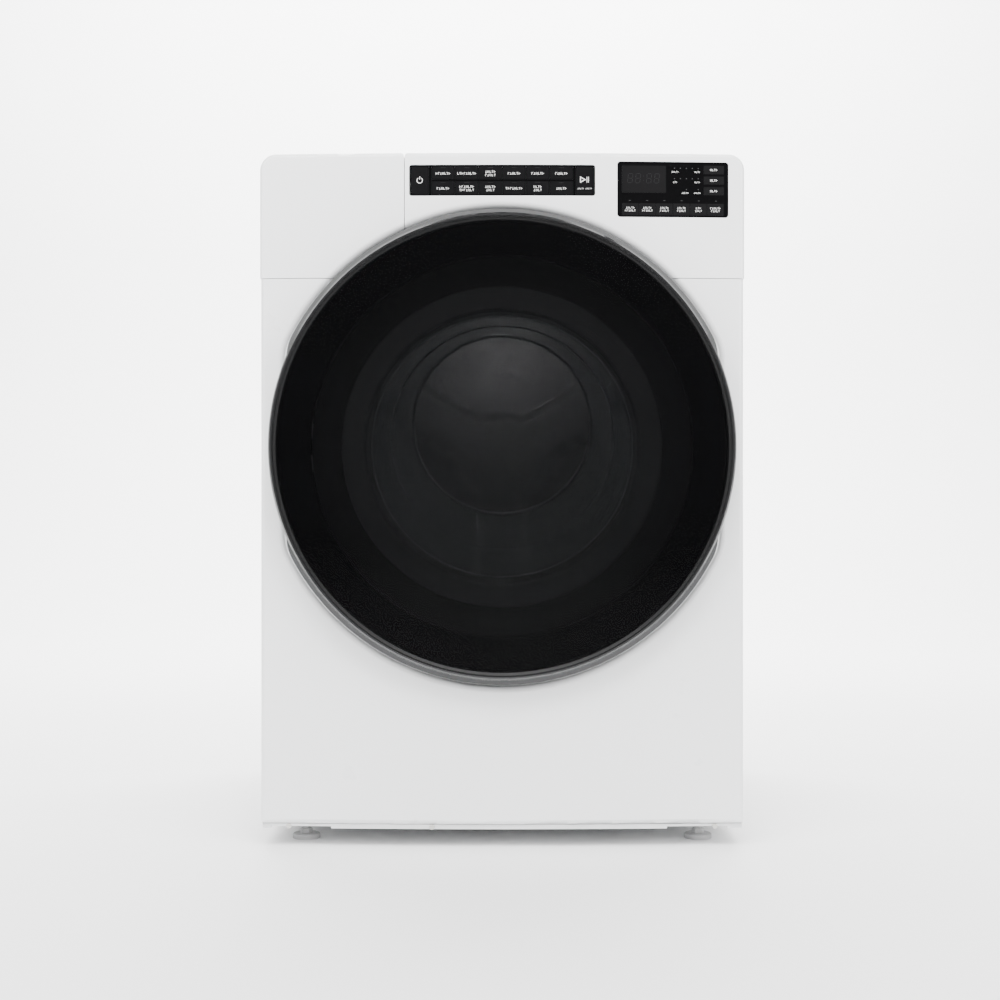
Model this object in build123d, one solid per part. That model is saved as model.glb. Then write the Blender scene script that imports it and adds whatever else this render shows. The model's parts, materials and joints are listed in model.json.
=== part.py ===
from build123d import *
import math
import os

# A front load washing machine, in millimetres, built from its separate pieces.
# +Z is up, the door faces -Y, and the origin is on the floor under the middle of the machine.
# One STEP file per piece is written to parts/.

# ---------------------------------------------------------------- driving dimensions
HEIGHT = 981.0
DEPTH = 787.0
HALF_W = 343.0            # console half width
BODY_HALF_W = 341.5       # cabinet half width
BASE_Z = 30.0             # underside of the cabinet, above the feet
SEAM_Z = 804.3            # seam between the console and the front panel
SEAM_GAP = 1.0
DOOR_Z = 566.0            # height of the door, tub and drum axis
FRONT_Y = -DEPTH / 2      # crown of the door lens
REAR_Y = DEPTH / 2        # ends of the hose ports
APEX_Y = -348.5           # middle of the bowed front face
BOW_R = 5000.0            # radius of the bow, in plan
SKIN_BACK_Y = -310.0      # rear edges of the front skins
DRAWER_X = -137.8         # seam between the dispenser drawer and the console

SHEET = 1.2               # painted sheet steel
PLASTIC = 2.5             # moulded covers
REAR_PANEL_Y = 375.5      # outer face of the back
WRAP_FRONT_Y = -308.5     # front edges of the sides and the top
TOP_SPLIT_Z = 956.5       # top of the sides
LID_REAR_Y = 377.0        # rear edge of the lid
CORNER_R = 23.0           # top corners
RUN_GAP = 0.3             # between pieces that move past each other

# dish around the door
DISH_R = 338.0
DISH_HALF_W = 308.0
DISH_CORNER_R = 70.0
DISH_FLOOR_Y = -334.5
DISH_LIP_R = 8.0
MOUTH_R = 207.2

# door
RIM_R = 325.6
LENS_R = 314.0
FRAME_R = 334.4           # grey ring seen beyond the rim
FRAME_CORNER_R = 66.0
FRAME_LIP_Y = -353.0
FRAME_BACK_Y = -336.5
BOWL_HOLE_R = 196.0
FRAME_HALF_W = 303.0
FRAME_T = 4.0
RIM_BACK_Y = -341.0
RIM_FRONT_Y = -386.0
LENS_EDGE_Y = -385.0
LENS_T = 3.0
HINGE_X = -320.0
HINGE_Y = -356.0
PIN_R = 2.5
PIN_FIT = 0.05
KNUCKLE_R = 4.2
KNUCKLE_Z = 11.0          # half height of the middle knuckle
HINGE_HALF_H = 34.0
STRIKE_X = 282.0
BOWL_R = 190.0            # glass bowl at the door
BOWL_END_R = 134.0        # flat end of the bowl
BOWL_END_RISE = 36.0      # the flat end is above the door's middle
BOWL_END_Y = -240.0
BOWL_T = 5.0

# tub and drum
TUB_IN_R = 288.0
TUB_WALL = 5.0
TUB_FLANGE_R = 303.0
TUB_FRONT_Y = -262.0
TUB_SPLIT_Y = 20.0
TUB_REAR_Y = 286.0
DRUM_R = 272.0
DRUM_T = 1.2
DRUM_FRONT_Y = -248.0
DRUM_REAR_Y = 262.0
DRUM_MOUTH_R = 197.0
SHAFT_R = 15.0
PULLEY_Y0 = 326.0
PULLEY_Y1 = 342.0
PULLEY_R = 150.0
MOTOR_X = 60.0
MOTOR_Z = 178.0
MOTOR_R = 68.0
MOTOR_PULLEY_R = 12.0

# controls
STRIP_X0, STRIP_X1 = -131.0, 131.0
STRIP_Z0, STRIP_Z1 = 919.5, 963.2
STRIP_CORNER_R = 3.5
DISPLAY_X0, DISPLAY_X1 = 162.0, 319.7
DISPLAY_Z0, DISPLAY_Z1 = 890.0, 968.4
DISPLAY_CORNER_R = 4.5
KEY_GAP = 0.35
KEY_EDGE = 1.9            # bezel left around the keys
KEY_COLUMNS, KEY_ROWS = 6, 2
END_KEY_W = 26.0
END_GAP = 3.2             # bar between an end key and the grid
ROW_GAP = 2.2

# feet
FOOT_X, FOOT_Y0, FOOT_Y1 = 285.0, -268.0, 330.0
FOOT_PAD_R = 20.0
STEM_R = 4.9

# suspension
SPRING_X = 318.0
SPRING_Y = 10.0
SPRING_Z0, SPRING_Z1 = 712.0, 872.0
DAMPER_X, DAMPER_Y0, DAMPER_Y1 = 200.0, -150.0, 150.0
DAMPER_TOP_Z = 322.0

PANEL_Z0 = BASE_Z + 4     # lower edge of the front panel
MOUTH_BACK_Y = -321.5     # rear edge of the mouth's flange
BOWL_Y0 = -345.0          # front of the bowl's flange
NECK_R = 205.0
HUB_R = 36.0
HUB_END_Y = 318.0
BEARING_R = 26.0
SHAFT_END_Y = 352.0
TUB_RIBS = 12
BELT_T = 3.0
LOCK_SLOT = (STRIKE_X - 9, STRIKE_X + 9, DOOR_Z - 13, DOOR_Z + 13, 3)
STRIP = (STRIP_X0, STRIP_X1, STRIP_Z0, STRIP_Z1)
DISPLAY = (DISPLAY_X0, DISPLAY_X1, DISPLAY_Z0, DISPLAY_Z1)
BEZEL_T = 2.6
KEY_T = 4.0
KEY_DROP = 0.1            # the keys sit just below the bezel's face
STEM_END_Y = -335.9
BOARD_Y = -331.5
TRAY = (-325.0, -165.0, -311.0, -25.0, 893.0, 948.0)
INLETS = (-290.0, -236.0)
INLET_Z = 918.0
PORT_R = 13.2
DRAIN_X, DRAIN_Z = -170.0, 905.0
GLAND_X, GLAND_Z = 275.0, 905.0
PORT_HOLES = [(x, INLET_Z, PORT_R + 1) for x in INLETS] + [(DRAIN_X, DRAIN_Z, 14.5), (GLAND_X, GLAND_Z, 10)]
PUMP_X, PUMP_Z = 195.0, BASE_Z + 54.0
SPRING_R, SPRING_WIRE_R, SPRING_PITCH = 11.0, 1.6, 8.0
DAMPER_BORE = 10.4
SCREW_R, SCREW_HEAD_R = 1.9, 3.8
FEET = {
    "foot_front_left": (-FOOT_X, FOOT_Y0),
    "foot_front_right": (FOOT_X, FOOT_Y0),
    "foot_rear_left": (-FOOT_X, FOOT_Y1),
    "foot_rear_right": (FOOT_X, FOOT_Y1),
}


# ---------------------------------------------------------------- shape helpers
def box(x0, x1, y0, y1, z0, z1):
    """Box between two corners."""
    return Pos((x0 + x1) / 2, (y0 + y1) / 2, (z0 + z1) / 2) * Box(x1 - x0, y1 - y0, z1 - z0)


def rod_y(radius, y0, y1, x=0.0, z=DOOR_Z):
    """Cylinder along Y."""
    return Pos(x, (y0 + y1) / 2, z) * Rot(90, 0, 0) * Cylinder(radius, y1 - y0)


def rod_z(radius, z0, z1, x, y):
    """Cylinder along Z."""
    return Pos(x, y, (z0 + z1) / 2) * Cylinder(radius, z1 - z0)


def tube_y(outer, inner, y0, y1, x=0.0, z=DOOR_Z):
    """Tube along Y."""
    return rod_y(outer, y0, y1, x, z) - rod_y(inner, y0 - 1, y1 + 1, x, z)


def turned(points, z=DOOR_Z, x=0.0, radius=0.0):
    """Turns a closed outline of (radius, y) points about the line along Y through (x, z)."""
    face = make_face(Polyline(*[(r, y) for r, y in points], close=True))
    if radius:
        face = fillet(face.vertices(), radius)
    return Pos(x, 0, z) * revolve(face, Axis.Y)


def slab(sketch, y0, y1):
    """Extrudes a sketch drawn in X and Z from y0 to y1."""
    plane = Plane(origin=(0, y1, 0), x_dir=(1, 0, 0), z_dir=(0, -1, 0))
    return extrude(plane * sketch, y1 - y0)


def rounded(x0, x1, z0, z1, radius):
    """Rectangle in X and Z with round corners."""
    return Pos((x0 + x1) / 2, (z0 + z1) / 2) * RectangleRounded(x1 - x0, z1 - z0, radius)


def bow(offset):
    """Everything behind the bowed front face moved in by offset."""
    return Pos(0, APEX_Y + BOW_R, 500) * Cylinder(BOW_R - offset, 1200)


def group(solids):
    """Several separate solids as one piece."""
    return Compound(children=[s for part in solids for s in part.solids()])


# ---------------------------------------------------------------- front skins
def flattened(radius, half_w, corner_r):
    """Circle around the door's axis with flattened sides and rounded corners."""
    outline = Circle(radius) & Rectangle(2 * half_w, 2 * radius + 20)
    return Pos(0, DOOR_Z) * fillet(outline.vertices(), corner_r)


def dish(offset):
    """Recess for the door, grown by offset."""
    outline = flattened(DISH_R + offset, DISH_HALF_W + offset, DISH_CORNER_R)
    return slab(outline, -400, DISH_FLOOR_Y + offset)


def is_lip(edge, offset):
    """True on an edge where the dish's wall meets the bowed face."""
    points = [edge @ 0.5, edge @ 0.02, edge @ 0.98]
    face_y = [APEX_Y + BOW_R - math.sqrt((BOW_R - offset) ** 2 - p.X ** 2) for p in points]
    on_face = all(abs(p.Y - y) < 0.05 for p, y in zip(points, face_y))
    reach = math.hypot(points[0].X, points[0].Z - DOOR_Z)
    return on_face and reach < DISH_R + offset + 0.5


def front_block(sketch, offset, edge_r, picks):
    """Solid behind the bowed face, cut to a sketch, with the dish's lip and its outer edges rounded."""
    whole = bow(offset) & slab(Pos(0, HEIGHT / 2) * Rectangle(780, 1100), -380, SKIN_BACK_Y)
    whole -= dish(offset)
    whole = fillet([e for e in whole.edges() if is_lip(e, offset)], DISH_LIP_R - offset)
    block = whole & slab(sketch, -380, SKIN_BACK_Y)
    front = [e for e in block.edges() if e.center().Y < SKIN_BACK_Y - 18 and e.length > 28]
    return fillet([e for e in front if picks(e.center())], edge_r - offset)


def make_front_panel():
    """Painted steel lower front, with its dish, tub mouth and lock slot."""
    z0, z1 = PANEL_Z0, SEAM_Z - SEAM_GAP / 2

    def skin(offset):
        sketch = Pos(0, (z0 + z1) / 2) * Rectangle(2 * (BODY_HALF_W - offset), z1 - z0 - 2 * offset)
        return front_block(sketch, offset, 7.0, lambda c: abs(c.X) > 330 or c.Z < z0 + 10)

    panel = skin(0) - skin(SHEET)
    panel -= rod_y(MOUTH_R, -340, -300)
    panel += tube_y(MOUTH_R, MOUTH_R - SHEET, DISH_FLOOR_Y, MOUTH_BACK_Y)
    return panel - slab(rounded(*LOCK_SLOT), -340, -325)


def console_outline(offset):
    """Whole upper front in X and Z, with its round top corners."""
    tall = HEIGHT - SEAM_Z + 200
    shape = RectangleRounded(2 * (HALF_W - offset), tall, CORNER_R - offset)
    return Pos(0, HEIGHT - offset - tall / 2) * shape


def console_part(x0, x1, offset):
    """Outline of one part of the console, above the seam."""
    low = SEAM_Z + SEAM_GAP / 2 + offset
    window = Pos((x0 + x1) / 2, (low + 1000) / 2) * Rectangle(x1 - x0 - 2 * offset, 1000 - low)
    return console_outline(offset) & window


def console_skin(x0, x1, offset):
    """Solid of one part of the console, behind its bowed face."""
    picks = lambda c: c.X * (x0 + x1) > 0 and abs(c.X) > 318 or c.Z > 970
    return front_block(console_part(x0, x1, offset), offset, 6.0, picks)


def control_outline(bounds, radius, offset):
    """Rounded outline of the key strip or the display, moved in by offset."""
    x0, x1, z0, z1 = bounds
    return rounded(x0 + offset, x1 - offset, z0 + offset, z1 - offset, radius - offset)


def dish_floor_behind_drawer():
    """Floor of the dish beside the drawer, which stays behind when the drawer slides out past the door."""
    x0, x1 = -DISH_R, DRAWER_X + 2
    z0 = SEAM_Z + SEAM_GAP / 2
    window = Pos((x0 + x1) / 2, z0 + 100) * Rectangle(x1 - x0, 200)
    floor = Pos(0, DOOR_Z) * Circle(DISH_R - RUN_GAP) & window
    return slab(floor, DISH_FLOOR_Y, DISH_FLOOR_Y + PLASTIC)


def make_console_fascia():
    """Moulded upper front with cut-outs for the key strip and the display."""
    x0 = DRAWER_X + SEAM_GAP / 2
    fascia = console_skin(x0, HALF_W, 0) - console_skin(x0, HALF_W, PLASTIC) + dish_floor_behind_drawer()
    fascia -= slab(control_outline(STRIP, STRIP_CORNER_R, 0), -360, -320)
    return fascia - slab(control_outline(DISPLAY, DISPLAY_CORNER_R, 0), -360, -320)


def make_drawer_front():
    """Moulded drawer front: the left end of the console, cut round to slide out past the closed door."""
    x1 = DRAWER_X - SEAM_GAP / 2
    outer = console_skin(-HALF_W, x1, 0) - rod_y(DISH_R, -400, -300)
    return outer - (console_skin(-HALF_W, x1, PLASTIC) - rod_y(DISH_R + PLASTIC, -400, -300))


# ---------------------------------------------------------------- cabinet
def side_plate(x0, x1, y0, y1, z0, z1, radius):
    """Flat plate facing X with round corners."""
    plate = box(x0, x1, y0, y1, z0, z1)
    return fillet(plate.edges().filter_by(Axis.X), radius)


def make_cabinet_wrapper():
    """Both sides and the back, folded from one sheet, with pressed sides and spring shelves."""

    def wrap(offset, over):
        half = BODY_HALF_W - offset
        body = box(-half, half, WRAP_FRONT_Y - over, REAR_PANEL_Y - offset, BASE_Z - over, TOP_SPLIT_Z + over)
        body = fillet(body.edges().filter_by(Axis.Z).group_by(Axis.Y)[-1], 7.0 - offset)
        for side in (-1, 1):
            x0, x1 = sorted((side * (half - 5), side * (HALF_W - offset)))
            press = side_plate(x0, x1, -235 + offset, 300 - offset, 110 + offset, 870 - offset, 40 - offset)
            body += press
        return body

    shell = wrap(0, 0) - wrap(SHEET, 5)
    for side in (-1, 1):
        x0, x1 = sorted((side * (BODY_HALF_W - 22), side * (BODY_HALF_W - 0.2)))
        shell += box(x0, x1, WRAP_FRONT_Y, WRAP_FRONT_Y + SHEET, BASE_Z + 41, 870)
        x0, x1 = sorted((side * (SPRING_X - 14), side * (BODY_HALF_W - 0.2)))
        shell += box(x0, x1, SPRING_Y - 30, SPRING_Y + 30, SPRING_Z1 + 2, SPRING_Z1 + 5)
    shell -= slab(rounded(-215, 215, 350, 830, 25), 360, 380)
    for x, z, radius in PORT_HOLES:
        shell -= rod_y(radius, 360, 380, x, z)
    return drilled(shell)


def make_rear_access_panel():
    """Cover over the pulley, with a raised middle."""
    plate = slab(rounded(-232, 232, 333, 847, 30), REAR_PANEL_Y, REAR_PANEL_Y + SHEET)
    raised = slab(rounded(-190, 190, 375, 805, 40), REAR_PANEL_Y, REAR_PANEL_Y + 7)
    raised = fillet(raised.faces().sort_by(Axis.Y)[-1].edges(), 4)
    hollow = slab(rounded(-188, 188, 377, 803, 38), REAR_PANEL_Y - 1, REAR_PANEL_Y + 5.8)
    return drilled(plate + raised - hollow)


def make_top_panel():
    """Lid with folded edges and the same round corners as the console."""

    def lid(offset):
        low = TOP_SPLIT_Z + 0.5 - 5 * offset
        above = Pos(0, low + 100) * Rectangle(800, 200)
        body = slab(console_outline(offset) & above, WRAP_FRONT_Y + offset, LID_REAR_Y - offset)
        rear_top = body.edges().filter_by(Axis.X).group_by(Axis.Y)[-1].sort_by(Axis.Z)[-1]
        return fillet(rear_top, 5.0 - offset)

    return drilled(lid(0) - lid(SHEET))


def make_base_frame():
    """Floor pan with upturned edges, cross rails, foot bosses and the strip below the front panel."""
    x1, y0, y1 = BODY_HALF_W - SHEET - 0.2, WRAP_FRONT_Y + 0.5, REAR_PANEL_Y - SHEET - 0.2
    frame = box(-x1, x1, y0, y1, BASE_Z, BASE_Z + 40)
    frame = fillet(frame.edges().filter_by(Axis.Z).group_by(Axis.Y)[-1], 8)
    frame -= box(-x1 + 2, x1 - 2, y0 + 2, y1 - 2, BASE_Z + 2, BASE_Z + 50)
    for low, high in ((-205, -180), (-120, 120), (180, 285)):
        frame -= box(-235, 235, low, high, BASE_Z - 5, BASE_Z + 10)
    for y in (DAMPER_Y0 - 28, DAMPER_Y0 + 28, DAMPER_Y1 - 28, DAMPER_Y1 + 28):
        frame += box(-x1 + 1, x1 - 1, y - 1, y + 1, BASE_Z + 1, BASE_Z + 22)
    for x, y in FEET.values():
        frame += rod_z(12, BASE_Z, BASE_Z + 30, x, y)
        frame -= rod_z(STEM_R + RUN_GAP, BASE_Z - 1, BASE_Z + 60, x, y)
    strip = Pos(0, (BASE_Z - 3 + PANEL_Z0 - 0.5) / 2) * Rectangle(2 * BODY_HALF_W - 4, PANEL_Z0 - BASE_Z + 2.5)
    for x in (-285, 276):
        strip -= Pos(x, BASE_Z - 3) * Rectangle(86, 6)
    return drilled(frame + (bow(6) & slab(strip, -380, y0 + 1)))


def make_foot(x, y):
    """Levelling foot: a pad, a hexagon to turn it by, and its threaded stem."""
    pad = rod_z(FOOT_PAD_R, 0, 7, x, y)
    pad = fillet(pad.edges().sort_by(Axis.Z)[-1], 2.5)
    nut = Pos(x, y, 0) * extrude(RegularPolygon(9, 6), 14)
    return pad + nut + rod_z(STEM_R, 5, BASE_Z + 42, x, y)


def make_door_lock():
    """Lock body behind the front panel, open where the strike enters."""
    lock = box(258, 306, -333, -309.5, DOOR_Z - 34, DOOR_Z + 34)
    lock = fillet(lock.edges().filter_by(Axis.Y), 4)
    return lock - box(STRIKE_X - 9, STRIKE_X + 9, -340, -314, DOOR_Z - 13, DOOR_Z + 13)


def knuckle(z0, z1):
    """Hinge knuckle with its bore."""
    return rod_z(KNUCKLE_R, z0, z1, HINGE_X, HINGE_Y) - rod_z(PIN_R + PIN_FIT, z0 - 1, z1 + 1, HINGE_X, HINGE_Y)


def web(points, z0, z1):
    """Upright web drawn in X and Y."""
    face = make_face(Polyline(*points, close=True))
    return Pos(0, 0, z0) * extrude(face, z1 - z0)


def make_hinge_bracket():
    """Fixed half of the hinge: a plate in the dish with an upper and a lower knuckle."""
    bracket = box(-304, -270, DISH_FLOOR_Y - 1.4, DISH_FLOOR_Y, DOOR_Z - 44, DOOR_Z + 44)
    for low, high in ((-HINGE_HALF_H, -KNUCKLE_Z - RUN_GAP), (KNUCKLE_Z + RUN_GAP, HINGE_HALF_H)):
        z0, z1 = DOOR_Z + low, DOOR_Z + high
        points = [(HINGE_X - 2.6, HINGE_Y + 3.5), (HINGE_X + 2.8, HINGE_Y - 2.7)]
        points += [(-298, -338.0), (-298, -335.0), (-303.5, -335.0)]
        arm = web(points, z0, z1) - rod_z(PIN_R + PIN_FIT, z0 - 1, z1 + 1, HINGE_X, HINGE_Y)
        bracket += arm + knuckle(z0, z1)
    return bracket


def make_gasket():
    """Rubber bellows from the front panel's mouth to the tub's neck, with the lip that seals on the bowl."""
    outer = [(205.7, -333.8), (205.7, -319.5), (216.5, -313), (216.5, -293), (213.2, -287), (213.2, -268)]
    inner = [(209.3, -268), (209.3, -283), (213.2, -296), (213.2, -310), (203, -316), (196, -322)]
    lip = [(192.6, -326), (192.6, -329), (197, -331.5), (201, -333.8)]
    return turned(outer + inner + lip)


# ---------------------------------------------------------------- controls
def key_places():
    """Name and bounds of each key: two end keys and a grid between them."""
    x0, x1, z0, z1 = STRIP
    low, high = z0 + KEY_EDGE, z1 - KEY_EDGE
    left, right = x0 + KEY_EDGE, x1 - KEY_EDGE
    places = {"power_key": (left, left + END_KEY_W, low, high)}
    places["start_key"] = (right - END_KEY_W, right, low, high)
    grid = left + END_KEY_W + END_GAP
    pitch = (right - END_KEY_W - END_GAP - grid) / KEY_COLUMNS
    height = (high - low - ROW_GAP * (KEY_ROWS - 1)) / KEY_ROWS
    for index in range(KEY_COLUMNS * KEY_ROWS):
        row, column = divmod(index, KEY_COLUMNS)
        top = high - row * (height + ROW_GAP)
        key_x = grid + column * pitch
        places[f"cycle_key_{index + 1}"] = (key_x, key_x + pitch, top - height, top)
    return places


def make_key(bounds):
    """Key cap with its stem."""
    outline = control_outline(bounds, 1.2, KEY_GAP / 2)
    cap = (bow(KEY_DROP) - bow(KEY_DROP + KEY_T)) & slab(outline, -380, -330)
    x, z = (bounds[0] + bounds[1]) / 2, (bounds[2] + bounds[3]) / 2
    return cap + rod_y(2.2, -344.5, STEM_END_Y, x, z)


def make_cycle_bezel():
    """Gloss strip around the keys."""
    strip = (bow(0) - bow(BEZEL_T)) & slab(control_outline(STRIP, STRIP_CORNER_R, 0.2), -380, -330)
    for bounds in key_places().values():
        strip -= slab(control_outline(bounds, 1.2, -KEY_GAP / 2), -380, -330)
    return strip


def make_display_panel():
    """Touch panel with the display behind it, flush in the console."""
    outline = control_outline(DISPLAY, DISPLAY_CORNER_R, 0.2)
    return (bow(0) - bow(BEZEL_T)) & slab(outline, -380, -325)


def make_control_board():
    """Circuit board with a switch behind each key and the display module."""
    board = box(-128, 300, BOARD_Y, BOARD_Y + 1.6, 897, 962)
    for x0, x1, z0, z1 in key_places().values():
        x, z = (x0 + x1) / 2, (z0 + z1) / 2
        board += box(x - 3, x + 3, BOARD_Y - 3, BOARD_Y + 0.2, z - 3, z + 3)
    board += box(168, 232, BOARD_Y - 6, BOARD_Y + 0.2, 926, 960)
    for x in (-90, -20, 60, 130, 250):
        board += box(x - 9, x + 9, BOARD_Y + 1.4, BOARD_Y + 5, 915, 933)
    return board


# ---------------------------------------------------------------- door
def clipped(shape, half_w):
    """Cuts a round door piece flat at its left and right."""
    return shape & box(-half_w, half_w, -420, -200, 0, 1000)


def make_door_rim():
    """Gloss front ring, cut away behind for the hinge and for fingers."""
    r0, r1 = LENS_R - 3.5, RIM_R
    points = [(r1 - 1.5, RIM_BACK_Y), (r1, RIM_BACK_Y - 1.5), (r1, -377), (r1 - 1, -382), (r1 - 3.4, RIM_FRONT_Y)]
    points += [(r1 - 5.4, RIM_FRONT_Y), (r1 - 6.5, -384.5), (r1 - 7.1, -380.8), (r0, -380.8), (r0, -377.5)]
    points += [(r1 - 4, -376.5), (r1 - 4, RIM_BACK_Y)]
    rim = turned(points)
    rim -= box(-330, -270, -364, -330, DOOR_Z - HINGE_HALF_H - 3, DOOR_Z + HINGE_HALF_H + 3)
    return rim - box(270, 330, -361, -330, DOOR_Z - 62, DOOR_Z + 62)


def make_door_frame():
    """Inner ring of the door, with the walls that carry the rim, the lens and the bowl."""
    front = FRAME_BACK_Y - FRAME_T
    ring = slab(flattened(FRAME_R, FRAME_HALF_W, FRAME_CORNER_R), FRAME_LIP_Y, FRAME_BACK_Y)
    ring -= rod_y(RIM_R + 1.6, -400, front)
    ring -= rod_y(BOWL_HOLE_R, -400, -300)
    ring += tube_y(BOWL_HOLE_R + 76, BOWL_HOLE_R + 72, -381.5, front)
    ring += clipped(tube_y(301, 297, -376, front), FRAME_HALF_W)
    ring -= box(-330, -266, -360, -330, DOOR_Z - 47, DOOR_Z + 47)
    return ring - box(STRIKE_X - 4.6, STRIKE_X + 4.6, -350, -330, DOOR_Z - 10, DOOR_Z + 10)


def make_door_lens():
    """Domed outer window."""
    rise = LENS_EDGE_Y - FRONT_Y
    radius = (LENS_R ** 2 + rise ** 2) / (2 * rise)
    middle = Pos(0, FRONT_Y + radius, DOOR_Z)
    dome = middle * Sphere(radius) - middle * Sphere(radius - LENS_T)
    return dome & rod_y(LENS_R, -400, LENS_EDGE_Y + 4.0)


def bowl_body(offset):
    """Tapered bowl whose flat end sits above the door's middle, moved in by offset."""
    start = Plane(origin=(0, BOWL_Y0, DOOR_Z), x_dir=(1, 0, 0), z_dir=(0, -1, 0))
    end = Plane(origin=(0, BOWL_END_Y - offset, DOOR_Z + BOWL_END_RISE), x_dir=(1, 0, 0), z_dir=(0, -1, 0))
    body = loft([start * Circle(BOWL_R - offset), end * Circle(BOWL_END_R - offset)])
    return fillet(body.faces().sort_by(Axis.Y)[-1].edges(), 22 - offset)


def make_door_bowl():
    """Glass bowl that reaches into the drum's mouth."""
    flange = rod_y(BOWL_HOLE_R + 20, BOWL_Y0, BOWL_Y0 + 3.5)
    return bowl_body(0) + flange - bowl_body(BOWL_T)


def make_door_hinge_arm():
    """Moving half of the hinge: the middle knuckle, its pin and the strap to the door."""
    z0, z1 = DOOR_Z - KNUCKLE_Z, DOOR_Z + KNUCKLE_Z
    points = [(HINGE_X - 2.5, HINGE_Y + 3.3), (HINGE_X + 3, HINGE_Y - 3)]
    points += [(-303, -344.5), (-225, -344.5), (-225, -341), (-305, -341)]
    strap = web(points, z0, z1)
    plate = box(-262, -222, -344.5, -341, DOOR_Z - 40, DOOR_Z + 40)
    pin = rod_z(PIN_R, DOOR_Z - HINGE_HALF_H, DOOR_Z + HINGE_HALF_H, HINGE_X, HINGE_Y)
    return strap + plate + rod_z(KNUCKLE_R, z0, z1, HINGE_X, HINGE_Y) + pin


def make_door_strike():
    """Steel hook that the lock holds."""
    hook = box(STRIKE_X - 4, STRIKE_X + 4, -346, -319, DOOR_Z - 9, DOOR_Z + 9)
    hook = fillet(hook.edges().filter_by(Axis.X).group_by(Axis.Y)[-1], 3)
    hook -= box(STRIKE_X - 10, STRIKE_X + 10, -331, -323, DOOR_Z - 5, DOOR_Z + 5)
    return hook + box(STRIKE_X - 8, STRIKE_X + 12, -346, -343, DOOR_Z - 18, DOOR_Z + 18)


# ---------------------------------------------------------------- dispenser
def make_drawer_tray():
    """Tray with three compartments, and the plate that closes the drawer front behind."""
    x0, x1, y0, y1, z0, z1 = TRAY
    tray = box(x0, x1, y0, y1, z0, z1)
    wall = 2.5
    middle = x0 + 0.56 * (x1 - x0)
    cross = y0 + 0.55 * (y1 - y0)
    for a, b, c, d in ((x0, middle, y0, y1), (middle, x1, y0, cross), (middle, x1, cross, y1)):
        cup = box(a + wall, b - wall / 2, c + wall, d - wall, z0 + wall, z1 + 5)
        tray -= fillet(cup.edges().filter_by(Axis.Z), 6)
    outline = console_part(-HALF_W, DRAWER_X - SEAM_GAP / 2, PLASTIC + 0.4)
    plate = slab(outline, y0 - 3, y0 + 0.5) - rod_y(DISH_R + PLASTIC + 0.4, -400, -300)
    return plate + tray


def make_drawer_insert():
    """Lift-out siphon cap over the softener compartment."""
    x0, x1, y0, y1, z0, z1 = TRAY
    middle = x0 + 0.56 * (x1 - x0)
    cross = y0 + 0.55 * (y1 - y0)
    lid = box(middle + 2.9, x1 - 2.9, cross + 3, y1 - 3, z1 - 14, z1 - 11)
    lid = fillet(lid.edges().filter_by(Axis.Z), 5)
    x, y = (middle + x1) / 2, (cross + y1) / 2
    return lid + (rod_z(9, z0 + 6, z1 - 12, x, y) - rod_z(6.5, z0, z1 - 14.5, x, y))


def make_dispenser_housing():
    """Box that the tray slides in, open at the front, with its outlet."""
    x0, x1, y0, y1, z0, z1 = TRAY
    x0, x1, y0, y1, z0, z1 = x0 - 6, x1 + 6, y0 + 5, y1 + 10, z0 - 7, z1 + 8
    house = box(x0, x1, y0, y1, z0, z1)
    house -= box(x0 + 2.5, x1 - 2.5, y0 - 5, y1 - 2.5, z0 + 2.5, z1 - 2.5)
    x = (x0 + x1) / 2
    house += rod_z(20, z0 - 40, z0 + 1, x, y1 - 50)
    return house - rod_z(17.5, z0 - 50, z0 + 5, x, y1 - 50)


# ---------------------------------------------------------------- water and power fittings
def make_inlet_valve():
    """Hot and cold valve with its two threaded ports."""
    valve = box(INLETS[0] - 22, INLETS[1] + 22, 322, REAR_PANEL_Y - SHEET - 0.4, INLET_Z - 20, INLET_Z + 20)
    for x in INLETS:
        valve += rod_y(PORT_R, 350, REAR_Y, x, INLET_Z) + rod_z(13, INLET_Z - 1, INLET_Z + 30, x, 340)
    for x in INLETS:
        valve -= rod_y(PORT_R - 3.5, 368, REAR_Y + 1, x, INLET_Z)
    return valve


def make_drain_spigot():
    """Barbed outlet for the drain hose."""
    points = [(15, 352), (18, 352), (18, REAR_PANEL_Y - SHEET - 0.4), (12, REAR_PANEL_Y - SHEET - 0.4)]
    points += [(12, 380), (13.5, 380), (12, 386), (13.5, 386), (12, REAR_Y), (9, REAR_Y), (9, 352)]
    return turned(points, DRAIN_Z, DRAIN_X)


def make_power_gland():
    """Strain relief that the mains lead comes through."""
    points = [(4.5, 366), (9.5, 366), (9.5, REAR_PANEL_Y + 0.2), (15, REAR_PANEL_Y + 0.2)]
    points += [(15, 380), (9, 381.5), (7.5, 391), (4.5, 391)]
    return turned(points, GLAND_Z, GLAND_X)


def make_drain_pump():
    """Pump with its filter cap towards the front, standing on the floor pan."""
    pump = rod_y(30, -285, -215, PUMP_X, PUMP_Z) + rod_y(22, -300, -284, PUMP_X, PUMP_Z)
    pump += rod_y(26, -216, -172, PUMP_X, PUMP_Z)
    pump += rod_z(15, PUMP_Z, PUMP_Z + 60, PUMP_X - 20, -250)
    return pump + box(PUMP_X - 24, PUMP_X + 24, -280, -212, BASE_Z + 2, PUMP_Z - 20)


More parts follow.
